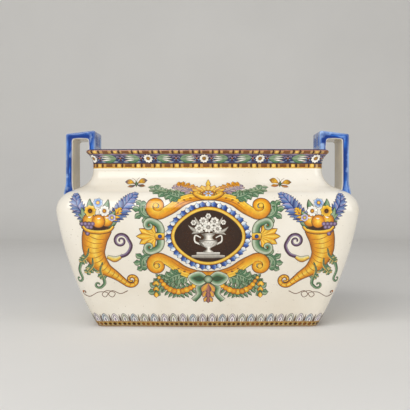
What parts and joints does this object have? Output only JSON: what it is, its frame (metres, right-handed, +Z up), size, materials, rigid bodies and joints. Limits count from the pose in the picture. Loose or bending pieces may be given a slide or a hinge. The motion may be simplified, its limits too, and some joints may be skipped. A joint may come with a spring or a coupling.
{
  "type": "planter pot",
  "caption": "Rectangular glazed earthenware planter with a tapering body, rounded shoulder, flared rim collar and squared strap handles; open top, flat foot ring.",
  "frame": {"origin": "on the ground, under the middle of the foot ring", "axes": "+X along the long sides towards one handle, +Y across the pot towards the back, +Z up"},
  "size_m": [0.3786, 0.208, 0.2505],
  "materials": {
    "cream_glaze": "gloss",
    "border_glaze": "gloss",
    "blue_glaze": "gloss"
  },
  "bodies": {
    "root": {"foot_slab": "cream_glaze", "front_wall": "cream_glaze", "back_wall": "cream_glaze", "left_end_wall": "cream_glaze", "right_end_wall": "cream_glaze", "shoulder_ring": "cream_glaze", "rim_collar": "border_glaze", "left_handle": "blue_glaze", "right_handle": "blue_glaze"}
  },
  "joints": []
}
